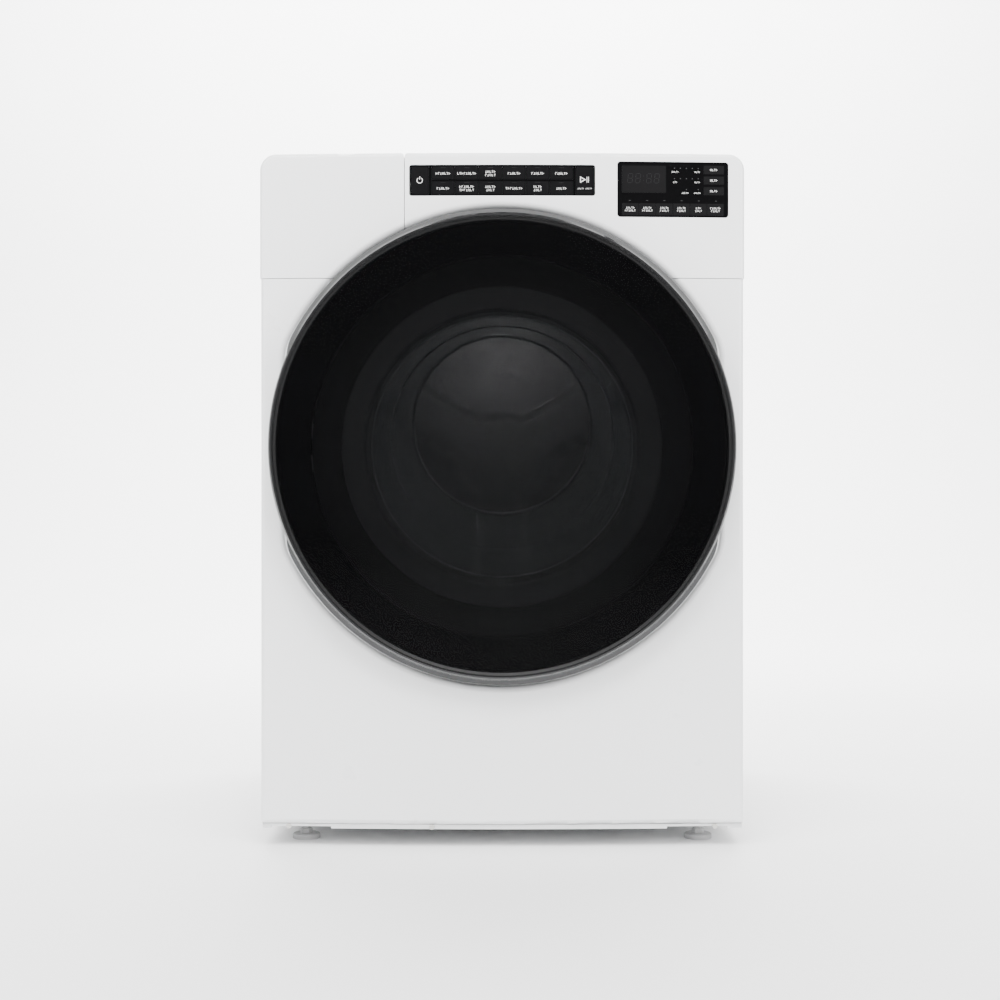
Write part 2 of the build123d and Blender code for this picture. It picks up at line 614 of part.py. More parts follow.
# ---------------------------------------------------------------- suspension
def make_springs():
    """Two coil springs that the tub hangs from."""
    coil = Helix(pitch=SPRING_PITCH, height=SPRING_Z1 - SPRING_Z0, radius=SPRING_R)
    wire = Plane(origin=coil @ 0, z_dir=coil % 0) * Circle(SPRING_WIRE_R)
    spring = sweep(wire, path=coil, is_frenet=True)
    return group([Pos(side * SPRING_X, SPRING_Y, SPRING_Z0) * spring for side in (-1, 1)])


def damper_places():
    """Places of the four dampers in plan."""
    return [(side * DAMPER_X, y) for side in (-1, 1) for y in (DAMPER_Y0, DAMPER_Y1)]


def make_damper_cylinders():
    """Damper bodies standing on the floor pan."""
    parts = []
    for x, y in damper_places():
        body = rod_z(15, BASE_Z + 2, 232, x, y) - rod_z(DAMPER_BORE, BASE_Z + 12, 226, x, y)
        parts.append(body - rod_z(6 + RUN_GAP, 200, 240, x, y))
    return group(parts)


def make_damper_rods():
    """Damper rods with their pistons, hung from the tub."""
    parts = []
    for x, y in damper_places():
        piston = rod_z(DAMPER_BORE - RUN_GAP, 110, 130, x, y)
        parts.append(piston + rod_z(6, 129, DAMPER_TOP_Z, x, y) + rod_z(12, DAMPER_TOP_Z - 12, DAMPER_TOP_Z, x, y))
    return group(parts)


# ---------------------------------------------------------------- tub
def tub_lugs(y_low, y_high):
    """Lugs on the tub for the springs and dampers that lie between two depths."""
    lugs = []
    for x, y in damper_places():
        if y_low < y < y_high:
            lugs.append(box(x - 14, x + 14, y - 14, y + 14, DAMPER_TOP_Z, DAMPER_TOP_Z + 60))
    if y_low < SPRING_Y < y_high:
        for side in (-1, 1):
            x0, x1 = sorted((side * 230, side * (SPRING_X + 14)))
            lugs.append(box(x0, x1, SPRING_Y - 14, SPRING_Y + 6, SPRING_Z0 - 16, SPRING_Z0 - 2))
    return lugs


def make_tub_front():
    """Front half of the tub, with the neck for the gasket."""
    outer = TUB_IN_R + TUB_WALL
    points = [(NECK_R, TUB_FRONT_Y - 19), (NECK_R + 4, TUB_FRONT_Y - 19), (NECK_R + 4, TUB_FRONT_Y)]
    points += [(outer - 12, TUB_FRONT_Y), (outer, TUB_FRONT_Y + 12), (outer, TUB_SPLIT_Y - 8)]
    points += [(TUB_FLANGE_R, TUB_SPLIT_Y - 8), (TUB_FLANGE_R, TUB_SPLIT_Y), (TUB_IN_R, TUB_SPLIT_Y)]
    points += [(TUB_IN_R, TUB_FRONT_Y + 14), (TUB_IN_R - 9, TUB_FRONT_Y + 5), (NECK_R, TUB_FRONT_Y + 5)]
    tub = turned(points)
    inside = rod_y(TUB_IN_R, TUB_FRONT_Y, TUB_SPLIT_Y)
    for lug in tub_lugs(TUB_FRONT_Y, TUB_SPLIT_Y):
        tub += lug - inside
    return tub


def make_tub_rear():
    """Rear half of the tub, with the bearing hub and radial ribs."""
    outer = TUB_IN_R + TUB_WALL
    back = TUB_REAR_Y
    points = [(TUB_IN_R, TUB_SPLIT_Y), (TUB_FLANGE_R, TUB_SPLIT_Y), (TUB_FLANGE_R, TUB_SPLIT_Y + 8)]
    points += [(outer, TUB_SPLIT_Y + 8), (outer, back), (HUB_R, back), (HUB_R, HUB_END_Y), (BEARING_R, HUB_END_Y)]
    points += [(BEARING_R, back - TUB_WALL), (TUB_IN_R, back - TUB_WALL)]
    tub = turned(points)
    rib = box(-3, 3, back - 1, back + 14, DOOR_Z + HUB_R - 2, DOOR_Z + outer - 4)
    for index in range(TUB_RIBS):
        tub += about_axis(rib, index * 360 / TUB_RIBS + 15)
    inside = rod_y(TUB_IN_R, TUB_SPLIT_Y, back)
    for lug in tub_lugs(TUB_SPLIT_Y, back):
        tub += lug - inside
    return tub


def about_axis(shape, degrees):
    """Turns a shape about the drum's axis."""
    return Pos(0, 0, DOOR_Z) * Rot(0, degrees, 0) * Pos(0, 0, -DOOR_Z) * shape


def make_front_counterweight():
    """Concrete ring bolted to the front of the tub, open at the bottom."""
    ring = tube_y(286, NECK_R + 16, TUB_FRONT_Y - 38, TUB_FRONT_Y)
    return ring - box(-110, 110, -320, -250, DOOR_Z - 300, DOOR_Z)


def make_top_counterweight():
    """Concrete block on top of the tub."""
    block = box(-110, 170, -170, 180, DOOR_Z + 230, DOOR_Z + 348)
    block = fillet(block.edges().filter_by(Axis.Z), 20)
    return block - rod_y(TUB_FLANGE_R + 0.5, -200, 200)


def make_motor_housing():
    """Motor with its end bells and the bracket up to the tub."""
    points = [(0, 186), (40, 186), (58, 192), (MOTOR_R, 200), (MOTOR_R, 300), (58, 308), (40, 316), (0, 316)]
    motor = turned(points, MOTOR_Z, MOTOR_X)
    motor += box(MOTOR_X - 30, MOTOR_X + 30, 205, 275, MOTOR_Z + 40, DOOR_Z - TUB_IN_R + 14)
    motor -= rod_y(TUB_IN_R + TUB_WALL + 0.1, 150, 300)
    return motor - rod_y(6 + RUN_GAP, 280, 320, MOTOR_X, MOTOR_Z)


def belt_loop(offset):
    """Outline of the belt's path around both pulleys, grown by offset."""
    drum = Pos(0, DOOR_Z) * Circle(PULLEY_R + offset)
    motor = Pos(MOTOR_X, MOTOR_Z) * Circle(MOTOR_PULLEY_R + offset)
    return make_hull(drum.edges() + motor.edges())


def make_drive_belt():
    """Flat belt from the motor to the drum."""
    path = belt_loop(RUN_GAP + BELT_T) - belt_loop(RUN_GAP)
    return slab(path, PULLEY_Y0 + 3, PULLEY_Y1 - 3)


def make_bearings():
    """Two ball bearings pressed into the hub."""
    places = (TUB_REAR_Y - 2, HUB_END_Y - 15)
    return group([tube_y(BEARING_R - 0.01, SHAFT_R + PIN_FIT, y, y + 14) for y in places])


# ---------------------------------------------------------------- drum
def make_drum_shell():
    """Steel drum with its mouth and the pressed star in its back wall."""
    outer = turned([(0, DRUM_REAR_Y + 2), (DRUM_R, DRUM_REAR_Y + 2), (DRUM_R, DRUM_FRONT_Y + 12),
                    (DRUM_MOUTH_R + 14, DRUM_FRONT_Y), (0, DRUM_FRONT_Y)])
    inner = turned([(0, DRUM_REAR_Y), (DRUM_R - DRUM_T, DRUM_REAR_Y), (DRUM_R - DRUM_T, DRUM_FRONT_Y + 13),
                    (DRUM_MOUTH_R + 14, DRUM_FRONT_Y + DRUM_T), (0, DRUM_FRONT_Y + DRUM_T)])
    drum = outer - inner - rod_y(DRUM_MOUTH_R, DRUM_FRONT_Y - 5, DRUM_FRONT_Y + 20)
    star = [box(-24, 24, DRUM_REAR_Y - 7, DRUM_REAR_Y + 0.5, DOOR_Z, DOOR_Z + 225)]
    arms = [about_axis(star[0], 60 + 120 * index) for index in range(3)]
    return drum + arms[0] + arms[1] + arms[2] + rod_y(62, DRUM_REAR_Y - 9, DRUM_REAR_Y + 0.5)


def make_lifters():
    """Three lifters along the inside of the drum."""
    inner = DRUM_R - DRUM_T - 0.1
    outline = make_face(Polyline((-34, -inner - 5), (34, -inner - 5), (30, -inner + 14), (11, -inner + 56),
                                 (-11, -inner + 56), (-30, -inner + 14), close=True))
    outline = fillet(outline.vertices().group_by(Axis.Y)[-1], 9)
    lifter = slab(Pos(0, DOOR_Z) * outline, DRUM_FRONT_Y + 28, DRUM_REAR_Y - 12) & rod_y(inner, -300, 300)
    return group([about_axis(lifter, 120 * index) for index in range(3)])


def make_spider():
    """Three-armed carrier behind the drum, with its shaft."""
    back = DRUM_REAR_Y + 2
    arm = box(-20, 20, back, back + 12, DOOR_Z, DOOR_Z + DRUM_R - 8)
    spider = rod_y(44, back, back + 14) + rod_y(SHAFT_R, back, SHAFT_END_Y)
    for index in range(3):
        spider += about_axis(arm, 60 + 120 * index)
    return spider


def make_drum_pulley():
    """Spoked pulley with a flange each side of the belt."""
    pulley = tube_y(PULLEY_R, PULLEY_R - 9, PULLEY_Y0, PULLEY_Y1)
    for y in (PULLEY_Y0, PULLEY_Y1 - 2):
        pulley += tube_y(PULLEY_R + 4, PULLEY_R - 1, y, y + 2)
    pulley += tube_y(30, SHAFT_R, PULLEY_Y0, PULLEY_Y1 + 4)
    spoke = box(-9, 9, PULLEY_Y0 + 4, PULLEY_Y1 - 4, DOOR_Z + 28, DOOR_Z + PULLEY_R - 8)
    for index in range(5):
        pulley += about_axis(spoke, index * 72)
    return pulley


def make_motor_pulley():
    """Small pulley on the motor's shaft."""
    pulley = rod_y(MOTOR_PULLEY_R, PULLEY_Y0, PULLEY_Y1, MOTOR_X, MOTOR_Z)
    for y in (PULLEY_Y0, PULLEY_Y1 - 2):
        pulley += rod_y(MOTOR_PULLEY_R + 4, y, y + 2, MOTOR_X, MOTOR_Z)
    return pulley + rod_y(6, 284, PULLEY_Y0 + 1, MOTOR_X, MOTOR_Z)


# ---------------------------------------------------------------- fasteners
def screw_places():
    """Place and direction of each screw: along Y into the back or the base strip."""
    rear = [(x, z) for z in (341, 590, 839) for x in (-222, 222)]
    rear += [(x, z) for z in (341, 839) for x in (-75, 75)]
    lid = [(x, TOP_SPLIT_Z + 9) for x in (-260, 0, 260)]
    strip = [(x, BASE_Z) for x in (-302, -99, 301)]
    places = [(x, REAR_PANEL_Y + SHEET, z, 1) for x, z in rear]
    places += [(x, LID_REAR_Y, z, 1) for x, z in lid]
    return places + [(x, APEX_Y + 5.6 + x * x / (2 * BOW_R), z, -1) for x, z in strip]


def drilled(shape):
    """Drills the holes of all the screws that pass through a shape."""
    for x, y, z, way in screw_places():
        y0, y1 = sorted((y + way, y - way * 9))
        shape -= rod_y(SCREW_R + 0.05, y0, y1, x, z)
    return shape


def make_cabinet_screws():
    """Pan head screws."""
    screws = []
    for x, y, z, way in screw_places():
        head = rod_y(SCREW_HEAD_R, *sorted((y, y + way * 2)), x, z)
        head = fillet(head.edges().group_by(Axis.Y)[-1 if way > 0 else 0], 0.8)
        screws.append(head + rod_y(SCREW_R, *sorted((y + way * 0.5, y - way * 7)), x, z))
    return group(screws)


# ---------------------------------------------------------------- the whole machine
def build_all():
    """Every piece by name."""
    parts = {
        "cabinet_wrapper": make_cabinet_wrapper(),
        "rear_access_panel": make_rear_access_panel(),
        "top_panel": make_top_panel(),
        "front_panel": make_front_panel(),
        "base_frame": make_base_frame(),
        "console_fascia": make_console_fascia(),
        "cycle_bezel": make_cycle_bezel(),
        "display_panel": make_display_panel(),
        "control_board": make_control_board(),
        "dispenser_housing": make_dispenser_housing(),
        "inlet_valve": make_inlet_valve(),
        "drain_pump": make_drain_pump(),
        "drain_spigot": make_drain_spigot(),
        "power_gland": make_power_gland(),
        "door_gasket": make_gasket(),
        "door_lock": make_door_lock(),
        "hinge_bracket": make_hinge_bracket(),
        "suspension_springs": make_springs(),
        "damper_cylinders": make_damper_cylinders(),
        "cabinet_screws": make_cabinet_screws(),
        "tub_front": make_tub_front(),
        "tub_rear": make_tub_rear(),
        "front_counterweight": make_front_counterweight(),
        "top_counterweight": make_top_counterweight(),
        "motor_housing": make_motor_housing(),
        "drive_belt": make_drive_belt(),
        "damper_rods": make_damper_rods(),
        "drum_bearings": make_bearings(),
        "drum_shell": make_drum_shell(),
        "drum_lifters": make_lifters(),
        "drum_spider": make_spider(),
        "drum_pulley": make_drum_pulley(),
        "motor_pulley": make_motor_pulley(),
        "door_rim": make_door_rim(),
        "door_frame": make_door_frame(),
        "door_lens": make_door_lens(),
        "door_bowl": make_door_bowl(),
        "door_hinge_arm": make_door_hinge_arm(),
        "door_strike": make_door_strike(),
        "drawer_front": make_drawer_front(),
        "drawer_tray": make_drawer_tray(),
        "drawer_insert": make_drawer_insert(),
    }
    for name, bounds in key_places().items():
        parts[name] = make_key(bounds)
    for name, (x, y) in FEET.items():
        parts[name] = make_foot(x, y)
    return parts


os.makedirs("parts", exist_ok=True)
for name, shape in build_all().items():
    export_step(shape, f"parts/{name}.step")
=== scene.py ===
import json
import math

import bpy
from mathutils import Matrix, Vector


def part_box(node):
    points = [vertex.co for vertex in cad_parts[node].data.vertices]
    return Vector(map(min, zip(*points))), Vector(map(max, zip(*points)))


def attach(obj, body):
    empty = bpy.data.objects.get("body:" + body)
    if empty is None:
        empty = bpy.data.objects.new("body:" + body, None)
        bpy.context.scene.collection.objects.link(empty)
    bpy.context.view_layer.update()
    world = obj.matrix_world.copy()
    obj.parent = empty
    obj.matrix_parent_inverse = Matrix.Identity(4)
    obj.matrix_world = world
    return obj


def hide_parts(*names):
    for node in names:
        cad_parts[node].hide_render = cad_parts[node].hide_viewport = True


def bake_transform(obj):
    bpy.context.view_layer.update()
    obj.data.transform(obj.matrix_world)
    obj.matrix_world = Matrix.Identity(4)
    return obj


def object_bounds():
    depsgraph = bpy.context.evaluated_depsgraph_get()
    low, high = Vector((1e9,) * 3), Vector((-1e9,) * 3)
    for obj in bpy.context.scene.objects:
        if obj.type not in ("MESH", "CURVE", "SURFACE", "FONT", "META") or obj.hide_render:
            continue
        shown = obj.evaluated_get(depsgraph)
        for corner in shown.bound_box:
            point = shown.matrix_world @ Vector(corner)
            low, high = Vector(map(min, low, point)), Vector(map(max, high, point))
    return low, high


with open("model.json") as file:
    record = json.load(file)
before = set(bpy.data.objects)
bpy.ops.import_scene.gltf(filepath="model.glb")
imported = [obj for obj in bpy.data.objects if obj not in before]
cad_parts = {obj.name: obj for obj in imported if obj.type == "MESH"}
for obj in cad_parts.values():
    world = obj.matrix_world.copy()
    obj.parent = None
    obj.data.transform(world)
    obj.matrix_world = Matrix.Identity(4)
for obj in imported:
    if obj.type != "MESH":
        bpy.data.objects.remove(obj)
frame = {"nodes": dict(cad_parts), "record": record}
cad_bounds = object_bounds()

# A front load washing machine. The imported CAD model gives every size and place, in metres.

MM = 0.001
BOW_R = 5.0                       # plan radius of the bowed front
NODES = frame["nodes"]
RECORD = frame["record"]


# ------------------------------------------------------------ places from the frame
def middle(node):
    """Centre of a node's box."""
    low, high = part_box(node)
    return tuple((a + b) / 2 for a, b in zip(low, high))


def extent(node):
    """Size of a node's box."""
    low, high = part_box(node)
    return tuple(b - a for a, b in zip(low, high))


DOOR_Z = middle("door_lens")[2]
LENS_R = extent("door_lens")[0] / 2
LENS_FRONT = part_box("door_lens")[0][1]
FACE_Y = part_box("front_panel")[0][1]
REAR_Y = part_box("cabinet_wrapper")[1][1]
DRUM_BACK_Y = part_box("drum_shell")[1][1]
DRUM_FRONT_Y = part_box("drum_shell")[0][1]
DRUM_R = extent("drum_shell")[0] / 2


def face_y(x):
    """Depth of the bowed front face at x."""
    return FACE_Y + x * x / (2 * BOW_R)


# ------------------------------------------------------------ mesh helpers
def add_mesh(name, points, faces, finish, body, smooth_angle=35):
    """New piece from points and faces, smooth except at edges sharper than an angle."""
    mesh = bpy.data.meshes.new(name)
    mesh.from_pydata([tuple(p) for p in points], [], faces)
    mesh.validate()
    mesh.shade_smooth()
    mesh.set_sharp_from_angle(angle=math.radians(smooth_angle))
    mesh.materials.append(finish)
    piece = bpy.data.objects.new(name, mesh)
    bpy.context.scene.collection.objects.link(piece)
    if body:
        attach(piece, body)
    return piece


def rounded_loop(points, radius, steps=5):
    """Closed loop of 2-D points with its corners rounded."""
    loop = []
    for index, corner in enumerate(points):
        before = Vector(points[index - 1])
        after = Vector(points[(index + 1) % len(points)])
        corner = Vector(corner)
        reach_in = min(radius, (before - corner).length * 0.45)
        reach_out = min(radius, (after - corner).length * 0.45)
        start = corner + (before - corner).normalized() * reach_in
        end = corner + (after - corner).normalized() * reach_out
        for step in range(steps + 1):
            t = step / steps
            loop.append((1 - t) ** 2 * start + 2 * t * (1 - t) * corner + t ** 2 * end)
    return loop


def lathe(name, loop, finish, body, centre=(0.0, DOOR_Z), turns=192):
    """Piece turned about an axis along Y from a closed loop of (radius, y)."""
    points = []
    for turn in range(turns):
        angle = 2 * math.pi * turn / turns
        for radius, y in loop:
            points.append((centre[0] + radius * math.cos(angle), y, centre[1] + radius * math.sin(angle)))
    count = len(loop)
    faces = []
    for turn in range(turns):
        near, far = turn * count, (turn + 1) % turns * count
        for index in range(count):
            following = (index + 1) % count
            faces.append((near + index, near + following, far + following, far + index))
    return add_mesh(name, points, faces, finish, body)


def prints(name, outlines, finish, body, lift=0.08 * MM):
    """Thin printed marks on the bowed face, each an outline in X and Z."""
    points, faces = [], []
    for outline in outlines:
        count, start = len(outline), len(points)
        points += [(x, face_y(x) - lift, z) for x, z in outline]
        points += [(x, face_y(x) + 0.3 * MM, z) for x, z in outline]
        faces.append(tuple(start + i for i in range(count)))
        faces.append(tuple(start + count + i for i in reversed(range(count))))
        for index in range(count):
            following = (index + 1) % count
            faces.append((start + following, start + index, start + count + index, start + count + following))
    return add_mesh(name, points, faces, finish, body, 10)


def rectangle(x, z, width, height, lean=0.0):
    """Outline of a rectangle about a point; lean slants it to the right at its top."""
    w, h = width / 2, height / 2
    return [(x - w - lean, z - h), (x + w - lean, z - h), (x + w + lean, z + h), (x - w + lean, z + h)]


def soft_rectangle(x, z, width, height, radius):
    """Outline of a rectangle with round corners."""
    return [tuple(p) for p in rounded_loop(rectangle(x, z, width, height), radius, 4)]


def disc(x, z, radius, count=14):
    """Outline of a circle."""
    return [(x + radius * math.cos(2 * math.pi * i / count), z + radius * math.sin(2 * math.pi * i / count))
            for i in range(count)]


def arc_band(x, z, radius, width, start, end, count=20):
    """Outline of a circular band between two angles in degrees."""
    angles = [math.radians(start + (end - start) * i / count) for i in range(count + 1)]
    outer = [(x + (radius + width / 2) * math.cos(a), z + (radius + width / 2) * math.sin(a)) for a in angles]
    inner = [(x + (radius - width / 2) * math.cos(a), z + (radius - width / 2) * math.sin(a)) for a in angles]
    return outer + inner[::-1]


# ------------------------------------------------------------ finishes
class Finish:
    """A material built from the Principled shader and procedural textures."""

    def __init__(self, name, colour, roughness, **sockets):
        self.material = bpy.data.materials.new(name)
        self.material.use_nodes = True
        self.nodes = self.material.node_tree.nodes
        self.links = self.material.node_tree.links
        self.shader = self.nodes["Principled BSDF"]
        self.shader.inputs["Base Color"].default_value = (*colour, 1.0)
        self.shader.inputs["Roughness"].default_value = roughness
        for socket, value in sockets.items():
            self.shader.inputs[socket.replace("_", " ")].default_value = value
        self.place = self.nodes.new("ShaderNodeTexCoord").outputs["Object"]
        self.colour = colour

    def noise(self, scale, detail=3.0, stretch=(1, 1, 1)):
        """Noise over the object, with a scale in blobs per metre."""
        mapping = self.nodes.new("ShaderNodeMapping")
        mapping.inputs["Scale"].default_value = stretch
        self.links.new(self.place, mapping.inputs["Vector"])
        texture = self.nodes.new("ShaderNodeTexNoise")
        texture.inputs["Scale"].default_value = scale
        texture.inputs["Detail"].default_value = detail
        self.links.new(mapping.outputs["Vector"], texture.inputs["Vector"])
        return texture.outputs["Fac"]

    def cells(self, scale, output="Distance", feature="F1"):
        """Voronoi cells over the object."""
        texture = self.nodes.new("ShaderNodeTexVoronoi")
        texture.feature = feature
        texture.inputs["Scale"].default_value = scale
        self.links.new(self.place, texture.inputs["Vector"])
        return texture.outputs[output]

    def spread(self, value, low, high, source=(0.3, 0.7)):
        """Maps a texture's value to a range."""
        node = self.nodes.new("ShaderNodeMapRange")
        for socket, number in zip(("From Min", "From Max", "To Min", "To Max"), (*source, low, high)):
            node.inputs[socket].default_value = number
        self.links.new(value, node.inputs["Value"])
        return node.outputs["Result"]

    def tint(self, value, dark, light):
        """Colours the surface between two colours by a texture's value."""
        mix = self.nodes.new("ShaderNodeMix")
        mix.data_type = "RGBA"
        mix.inputs["A"].default_value = (*dark, 1.0)
        mix.inputs["B"].default_value = (*light, 1.0)
        self.links.new(self.spread(value, 0.0, 1.0), mix.inputs["Factor"])
        self.links.new(mix.outputs["Result"], self.shader.inputs["Base Color"])
        return self

    def wear(self, value, low, high):
        """Varies the roughness by a texture's value."""
        self.links.new(self.spread(value, low, high), self.shader.inputs["Roughness"])
        return self

    def bump(self, value, distance, strength=1.0):
        """Raises the surface by a texture's value, on top of any earlier bump."""
        node = self.nodes.new("ShaderNodeBump")
        node.inputs["Distance"].default_value = distance
        node.inputs["Strength"].default_value = strength
        self.links.new(value, node.inputs["Height"])
        socket = self.shader.inputs["Normal"]
        if socket.is_linked:
            self.links.new(socket.links[0].from_socket, node.inputs["Normal"])
        self.links.new(node.outputs["Normal"], socket)
        return self


def scaled(colour, factor):
    """Colour made lighter or darker."""
    return tuple(min(1.0, c * factor) for c in colour)


def enamel():
    """White baked enamel with a faint orange peel."""
    finish = Finish("white_enamel", (0.80, 0.805, 0.81), 0.3, Coat_Weight=0.35, Coat_Roughness=0.12)
    finish.tint(finish.noise(2.2), scaled(finish.colour, 0.985), scaled(finish.colour, 1.012))
    finish.wear(finish.noise(14, 5), 0.27, 0.36)
    return finish.bump(finish.noise(420, 1), 0.03 * MM, 0.35)


def white_moulding():
    """White moulded plastic with a fine grain."""
    finish = Finish("white_plastic", (0.80, 0.805, 0.81), 0.34, Coat_Weight=0.2, Coat_Roughness=0.2)
    finish.tint(finish.noise(3.1), scaled(finish.colour, 0.988), scaled(finish.colour, 1.01))
    finish.wear(finish.noise(20, 5), 0.31, 0.4)
    return finish.bump(finish.noise(1500, 2), 0.02 * MM, 0.4)


def galvanised():
    """Zinc coated sheet with its spangle."""
    finish = Finish("galvanised_steel", (0.55, 0.56, 0.57), 0.4, Metallic=0.85)
    finish.tint(finish.cells(160, "Color"), (0.46, 0.47, 0.48), (0.66, 0.67, 0.68))
    finish.wear(finish.cells(160, "Color"), 0.32, 0.5)
    return finish.bump(finish.noise(90, 4), 0.05 * MM, 0.3)


def black_gloss():
    """Polished black plastic with hairline marks."""
    finish = Finish("black_gloss", (0.0026, 0.0026, 0.0028), 0.2, Specular_IOR_Level=0.02)
    finish.wear(finish.noise(60, 6, (1, 1, 6)), 0.08, 0.2)
    return finish.bump(finish.noise(700, 1), 0.008 * MM, 0.25)


def rim_gloss():
    """Polished charcoal plastic of the door's rim."""
    finish = Finish("rim_gloss", (0.013, 0.013, 0.0135), 0.13, Specular_IOR_Level=0.5)
    finish.wear(finish.noise(60, 6, (1, 1, 6)), 0.1, 0.2)
    return finish.bump(finish.noise(700, 1), 0.008 * MM, 0.25)


def base_steel():
    """Pale coated steel of the floor pan and the strip below the front."""
    finish = Finish("base_steel", (0.66, 0.665, 0.67), 0.42, Metallic=0.15)
    finish.tint(finish.noise(12, 4), (0.63, 0.635, 0.64), (0.69, 0.695, 0.70))
    finish.wear(finish.noise(40, 5), 0.36, 0.5)
    return finish.bump(finish.noise(600, 3), 0.02 * MM, 0.4)


def key_cap():
    """Dark grey satin key caps."""
    finish = Finish("key_grey", (0.0048, 0.0048, 0.0052), 0.32, Specular_IOR_Level=0.02)
    finish.wear(finish.noise(45, 5), 0.27, 0.4)
    return finish.bump(finish.noise(2500, 2), 0.01 * MM, 0.4)


def tinted_lens():
    """Smoked lens: mostly dark, letting a little of the inside show."""
    finish = Finish("tinted_lens", (0.002, 0.002, 0.0022), 0.03, Alpha=0.66, Specular_IOR_Level=0.03)
    finish.wear(finish.noise(25, 6), 0.02, 0.06)
    finish.material.surface_render_method = "BLENDED"
    return finish


def bowl_glass():
    """Clear pressed glass, more visible where it is seen edge on."""
    finish = Finish("bowl_glass", (0.55, 0.6, 0.62), 0.04, Specular_IOR_Level=0.6)
    facing = finish.nodes.new("ShaderNodeLayerWeight")
    facing.inputs["Blend"].default_value = 0.35
    opacity = finish.spread(facing.outputs["Facing"], 0.05, 0.6, (0.1, 1.0))
    finish.links.new(opacity, finish.shader.inputs["Alpha"])
    finish.material.surface_render_method = "BLENDED"
    return finish.bump(finish.noise(35, 2), 0.2 * MM, 0.2)


def grained_plastic(name, colour, roughness=0.5):
    """Moulded plastic with a spark-eroded grain."""
    finish = Finish(name, colour, roughness)
    finish.tint(finish.noise(9, 4), scaled(colour, 0.93), scaled(colour, 1.06))
    finish.wear(finish.noise(30, 4), roughness - 0.06, roughness + 0.1)
    return finish.bump(finish.cells(2200), 0.04 * MM, 0.35)


def rubber(name, colour):
    """Moulded rubber with a dusty bloom."""
    finish = Finish(name, colour, 0.65, Specular_IOR_Level=0.35)
    finish.tint(finish.noise(22, 6), scaled(colour, 0.85), scaled(colour, 1.25))
    finish.wear(finish.noise(40, 5), 0.52, 0.78)
    return finish.bump(finish.noise(900, 4), 0.05 * MM, 0.5)


def drum_steel():
    """Stainless drum sheet, brushed round the drum."""
    finish = Finish("stainless", (0.5, 0.5, 0.505), 0.4, Metallic=0.55)
    finish.wear(finish.noise(60, 6, (1, 14, 1)), 0.34, 0.48)
    finish.tint(finish.noise(6, 4), (0.44, 0.44, 0.445), (0.52, 0.52, 0.525))
    return finish.bump(finish.noise(180, 3, (1, 10, 1)), 0.004 * MM, 0.3)


def bright_steel(name, colour, roughness):
    """Plated or polished metal with fine scratches."""
    finish = Finish(name, colour, roughness, Metallic=1.0)
    finish.wear(finish.noise(150, 6, (1, 1, 8)), roughness * 0.7, roughness * 1.5)
    return finish.bump(finish.noise(400, 4), 0.01 * MM, 0.5)


def cast_metal():
    """Die cast aluminium with its skin."""
    finish = Finish("cast_aluminium", (0.52, 0.53, 0.54), 0.45, Metallic=0.9)
    finish.tint(finish.noise(35, 6), (0.42, 0.43, 0.44), (0.6, 0.6, 0.61))
    return finish.bump(finish.noise(500, 5), 0.08 * MM, 0.6)


def concrete():
    """Cast concrete with pores and stones."""
    finish = Finish("concrete", (0.36, 0.355, 0.34), 0.9)
    finish.tint(finish.noise(28, 8), (0.27, 0.265, 0.25), (0.46, 0.45, 0.43))
    finish.bump(finish.noise(120, 8), 0.8 * MM, 0.6)
    return finish.bump(finish.cells(260), 0.5 * MM, 0.4)


def board():
    """Solder-masked circuit board with its tracks."""
    finish = Finish("board_green", (0.02, 0.11, 0.05), 0.35)
    finish.tint(finish.cells(500, "Distance", "DISTANCE_TO_EDGE"), (0.015, 0.09, 0.04), (0.05, 0.2, 0.1))
    return finish.bump(finish.cells(500), 0.03 * MM, 0.5)


def printed(name, colour, roughness=0.5):
    """Screen-printed ink, very slightly uneven."""
    finish = Finish(name, colour, roughness, Specular_IOR_Level=0.03)
    finish.tint(finish.noise(800, 3), scaled(colour, 0.9), scaled(colour, 1.08))
    return finish.bump(finish.noise(3000, 2), 0.01 * MM, 0.4)


FINISHES = {
    "white_enamel": enamel(),
    "white_plastic": white_moulding(),
    "galvanised_steel": galvanised(),
    "black_gloss": black_gloss(),
    "key_grey": key_cap(),
    "tinted_lens": tinted_lens(),
    "bowl_glass": bowl_glass(),
    "grey_plastic": grained_plastic("grey_plastic", (0.16, 0.165, 0.17)),
    "light_plastic": grained_plastic("light_plastic", (0.6, 0.61, 0.62), 0.45),
    "tub_plastic": grained_plastic("tub_plastic", (0.36, 0.37, 0.38), 0.6),
    "valve_plastic": grained_plastic("valve_plastic", (0.62, 0.62, 0.6), 0.45),
    "rubber_grey": rubber("rubber_grey", (0.13, 0.135, 0.14)),
    "rubber_black": rubber("rubber_black", (0.018, 0.018, 0.019)),
    "rubber_pale": rubber("rubber_pale", (0.42, 0.42, 0.42)),
    "stainless": drum_steel(),
    "chromed_steel": bright_steel("chromed_steel", (0.7, 0.7, 0.71), 0.12),
    "zinc_steel": bright_steel("zinc_steel", (0.58, 0.57, 0.54), 0.3),
    "cast_aluminium": cast_metal(),
    "concrete": concrete(),
    "board_green": board(),
}
FINISHES = {slot: finish.material for slot, finish in FINISHES.items()}
LABEL = printed("label_white", (0.72, 0.72, 0.71)).material
FAINT = printed("label_faint", (0.045, 0.045, 0.047)).material
UNLIT = printed("digits_unlit", (0.0125, 0.0125, 0.013)).material
TILE = printed("tile_grey", (0.0058, 0.0058, 0.0061), 0.4).material
BORDER = printed("border_black", (0.0022, 0.0022, 0.0025), 0.25).material
# Black of the drum's holes: painted shade for the dark space behind each hole.
HOLE_SHADE = printed("hole_painted_shade", (0.004, 0.004, 0.004), 0.8).material
RED = grained_plastic("hot_red", (0.35, 0.02, 0.015), 0.4).material
